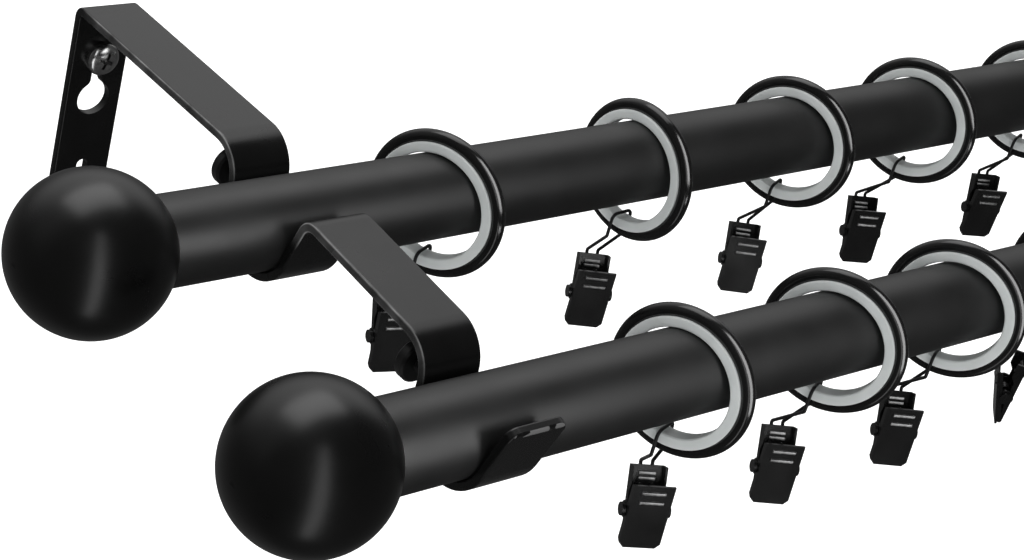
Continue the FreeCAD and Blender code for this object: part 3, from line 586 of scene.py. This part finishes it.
rubbed_steel, rubbed_tree, rubbed_shader = blank_finish("rubbed_steel")
rubbed_shader.inputs["Metallic"].default_value = 0.85
rubbed_cloud = mottle(rubbed_tree, 700, 3.0)
rubbed_colour = tinted(rubbed_tree, rubbed_cloud, (0.05, 0.05, 0.05), (0.14, 0.14, 0.14))
rubbed_tree.links.new(rubbed_colour, rubbed_shader.inputs["Base Color"])
rubbed_tree.links.new(between(rubbed_tree, rubbed_cloud, 0.35, 0.5), rubbed_shader.inputs["Roughness"])
grain(rubbed_tree, rubbed_shader, mottle(rubbed_tree, 2500), 0.00001)


def grip_bars(name, bars):
    """Rounded bars across a jaw, drawn about the clip's pin with the front towards -y."""
    pieces = []
    for height in bars["heights"]:
        depth = 2 * (BAR_STAND + BAR_COVER)
        bpy.ops.mesh.primitive_cube_add(size=1, location=(0, bars["face"], height))
        bar = bpy.context.object
        bar.scale = (bars["length"] + 2 * BAR_COVER, depth, BAR_WIDTH + 2 * BAR_COVER)
        bpy.ops.object.transform_apply(location=True, rotation=True, scale=True)
        rounding = bar.modifiers.new("rounding", "BEVEL")
        rounding.width = depth * 0.45
        rounding.segments = 4
        apply_modifiers(bar)
        bpy.ops.object.mode_set(mode="EDIT")
        bpy.ops.mesh.select_all(action="SELECT")
        bpy.ops.mesh.bisect(
            plane_co=(0, bars["face"], 0), plane_no=(0, 1, 0), clear_outer=True, use_fill=True
        )
        bpy.ops.object.mode_set(mode="OBJECT")
        bpy.ops.object.shade_smooth_by_angle(angle=math.radians(50))
        pieces.append(bar)
    bars_piece = joined(pieces, name)
    bars_piece.data.materials.append(rubbed_steel)
    return bars_piece


front_bars = grip_bars("front_bars", FRONT_BARS)
back_bars = grip_bars("back_bars", BACK_BARS)
pins = {joint["child"]: joint for joint in frame["joints"]}
worn_bars = []
for tag in RING_TAGS:
    pin = pins[f"jaw_{tag}"]
    turn = math.atan2(-pin["axis"][1], -pin["axis"][0])
    upright = Matrix.Translation(pin["pos_m"]) @ Matrix.Rotation(turn, 4, "Z")
    back_place = upright @ Matrix.Rotation(math.radians(-CLIP_TILTS[tag]), 4, "X")
    front_place = back_place @ Matrix.Rotation(math.radians(JAW_LEAN), 4, "X")
    front_copy = placed_copy(front_bars, f"front_bars_{tag}", front_place)
    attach(front_copy, f"jaw_{tag}")
    back_copy = placed_copy(back_bars, f"back_bars_{tag}", back_place)
    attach(back_copy, f"hook_{tag}")
    worn_bars += [front_copy, back_copy]
bpy.data.objects.remove(front_bars)
bpy.data.objects.remove(back_bars)

# The studio: a pale floor well below the pole, a soft box overhead, a tall strip beside the camera,
# and boxes in front that only show as a shine, each on one kind of piece.
# The camera sees the sweep as pure white, and gloss sees a dark room with a lit wall behind the pole.

FLOOR_HEIGHT = -2.8
FLOOR_SIZE = 24
FLOOR_LIFT = 0.6

bpy.ops.mesh.primitive_plane_add(size=FLOOR_SIZE, location=(0, 0, FLOOR_HEIGHT))
floor = bpy.context.object
floor.name = "floor"
bpy.ops.object.transform_apply(location=True, rotation=True, scale=True)
floor.visible_glossy = False
floor_pale, floor_tree, floor_shader = blank_finish("floor_pale")
floor_shader.inputs["Base Color"].default_value = (0.86, 0.86, 0.86, 1)
floor_shader.inputs["Roughness"].default_value = 0.9
floor_shader.inputs["Emission Color"].default_value = (1, 1, 1, 1)
floor_path = floor_tree.nodes.new("ShaderNodeLightPath")
floor_lift = floor_tree.nodes.new("ShaderNodeMath")
floor_lift.operation = "MULTIPLY"
floor_lift.inputs[1].default_value = FLOOR_LIFT
floor_tree.links.new(floor_path.outputs["Is Camera Ray"], floor_lift.inputs[0])
floor_tree.links.new(floor_lift.outputs["Value"], floor_shader.inputs["Emission Strength"])
floor.data.materials.append(floor_pale)
floor.select_set(False)

ROOM_LIGHT = 1.0
DARK_ROOM = 0.055
WALL_FOOT = 0.055
LIT_WALL = 0.82

studio = bpy.data.worlds.new("studio")
bpy.context.scene.world = studio
studio.use_nodes = True
sky = studio.node_tree
sky.nodes.clear()
out = sky.nodes.new("ShaderNodeOutputWorld")
room = sky.nodes.new("ShaderNodeBackground")
room.inputs["Color"].default_value = (1, 1, 1, 1)
ray = sky.nodes.new("ShaderNodeLightPath")
way = sky.nodes.new("ShaderNodeTexCoord")
parts = sky.nodes.new("ShaderNodeSeparateXYZ")
sky.links.new(way.outputs["Generated"], parts.inputs["Vector"])


def rising(axis, low, high, bottom, top):
    """A soft step along one axis, from bottom at low to top at high."""
    step = sky.nodes.new("ShaderNodeMapRange")
    step.interpolation_type = "SMOOTHSTEP"
    step.inputs["From Min"].default_value = low
    step.inputs["From Max"].default_value = high
    step.inputs["To Min"].default_value = bottom
    step.inputs["To Max"].default_value = top
    sky.links.new(parts.outputs[axis], step.inputs["Value"])
    return step.outputs["Result"]


wall_spread = sky.nodes.new("ShaderNodeMath")
wall_spread.operation = "MULTIPLY"
sky.links.new(rising("X", low=-0.7, high=0.0, bottom=0.2, top=1.0), wall_spread.inputs[0])
sky.links.new(rising("Y", low=0.0, high=0.35, bottom=0.0, top=1.0), wall_spread.inputs[1])
wall = sky.nodes.new("ShaderNodeMath")
wall.operation = "MULTIPLY_ADD"
sky.links.new(wall_spread.outputs["Value"], wall.inputs[0])
sky.links.new(rising("Z", low=-0.05, high=0.5, bottom=WALL_FOOT, top=LIT_WALL), wall.inputs[1])
wall.inputs[2].default_value = DARK_ROOM


def chosen(choice, plain, special):
    """A number that is special for one kind of ray and plain for the rest."""
    mix = sky.nodes.new("ShaderNodeMix")
    sky.links.new(ray.outputs[choice], mix.inputs["Factor"])
    for socket, value in (("A", plain), ("B", special)):
        if isinstance(value, float):
            mix.inputs[socket].default_value = value
        else:
            sky.links.new(value, mix.inputs[socket])
    return mix.outputs["Result"]


level = chosen("Is Glossy Ray", ROOM_LIGHT, wall.outputs["Value"])
level = chosen("Is Transmission Ray", level, wall.outputs["Value"])
level = chosen("Is Camera Ray", level, 1.0)
sky.links.new(level, room.inputs["Strength"])
sky.links.new(room.outputs["Background"], out.inputs["Surface"])

left_end = Vector((bracket_places[0], 0, 0))
EDGE_ON_CLIP = "front_4"


def soft_box(name, place, aim, wide, tall, level):
    """An even rectangular light of a given brightness, placed from the left bracket."""
    lamp = bpy.data.lights.new(name, "AREA")
    lamp.shape = "RECTANGLE"
    lamp.size = wide
    lamp.size_y = tall
    lamp.energy = level * math.pi * wide * tall
    light = bpy.data.objects.new(name, lamp)
    bpy.context.scene.collection.objects.link(light)
    light.location = left_end + Vector(place)
    light.rotation_euler = (Vector(aim) - Vector(place)).to_track_quat("-Z", "Y").to_euler()
    light.visible_camera = False
    return light


def shine_box(name, place, aim, wide, tall, level, seen_on):
    """A soft box that shows only as a shine, and only on some pieces."""
    light = soft_box(name, place, aim, wide, tall, level)
    light.visible_diffuse = False
    lit = bpy.data.collections.new(f"{name}_lit")
    for piece in seen_on:
        lit.objects.link(piece)
    light.light_linking.receiver_collection = lit


soft_box(
    "overhead", place=(0.11, 0.46, 1.40), aim=(0.11, 0.40, 0),
    wide=1.6, tall=1.1, level=1.95,
)
strip = soft_box(
    "strip", place=(-0.68, -1.63, 0.05), aim=(-0.06, -0.16, 0.05),
    wide=0.42, tall=5.2, level=1.7,
)
flagged = bpy.data.collections.new("strip_flagged")
for jaw in ("back", "front"):
    flagged.objects.link(nodes[f"clip_{jaw}_{EDGE_ON_CLIP}"])
for entry in flagged.collection_objects:
    entry.light_linking.link_state = "EXCLUDE"
strip.light_linking.receiver_collection = flagged
shine_box(
    "pole_box", place=(0.10, -1.05, 0.27), aim=(0.10, -0.16, 0),
    wide=0.3, tall=0.85, level=8.0, seen_on=tubes,
)
bright_pieces = [nodes[f"ring_{tag}"] for tag in RING_TAGS] + worn_bars
shine_box(
    "ring_box", place=(0.20, -1.10, 0.40), aim=(0.10, -0.16, 0),
    wide=0.7, tall=2.2, level=8.0, seen_on=bright_pieces,
)
shine_box(
    "screw_box", place=(0.42, -1.10, 0.20), aim=(0, 0, 0),
    wide=0.4, tall=0.9, level=2.4, seen_on=[wall_screws],
)
facing_tags = [tag for tag in RING_TAGS if tag != EDGE_ON_CLIP]
jaws = [nodes[f"clip_{jaw}_{tag}"] for jaw in ("back", "front") for tag in facing_tags]
shine_box(
    "clip_box", place=(-0.30, -1.16, 0.08), aim=(0, -0.12, 0),
    wide=0.35, tall=0.8, level=14.0, seen_on=jaws,
)

# The camera: a long lens that looks down on the left ends of the poles,
# from in front and from the left.

SENSOR_WIDTH = 36
LENS_LENGTH = 83.06
NEAREST = 0.01
CAMERA_PLACE = (-0.40990, -0.59118, 0.34424)
CAMERA_TILT = 60.3965
CAMERA_ROLL = -13.6535
CAMERA_TURN = -39.3754

camera_data = bpy.data.cameras.new("camera")
camera_data.sensor_width = SENSOR_WIDTH
camera_data.lens = LENS_LENGTH
camera_data.clip_start = NEAREST
camera = bpy.data.objects.new("camera", camera_data)
bpy.context.scene.collection.objects.link(camera)
camera.location = left_end + Vector(CAMERA_PLACE)
camera.rotation_euler = [math.radians(angle) for angle in (CAMERA_TILT, CAMERA_ROLL, CAMERA_TURN)]
bpy.context.scene.camera = camera
bpy.context.scene.view_settings.view_transform = "Standard"
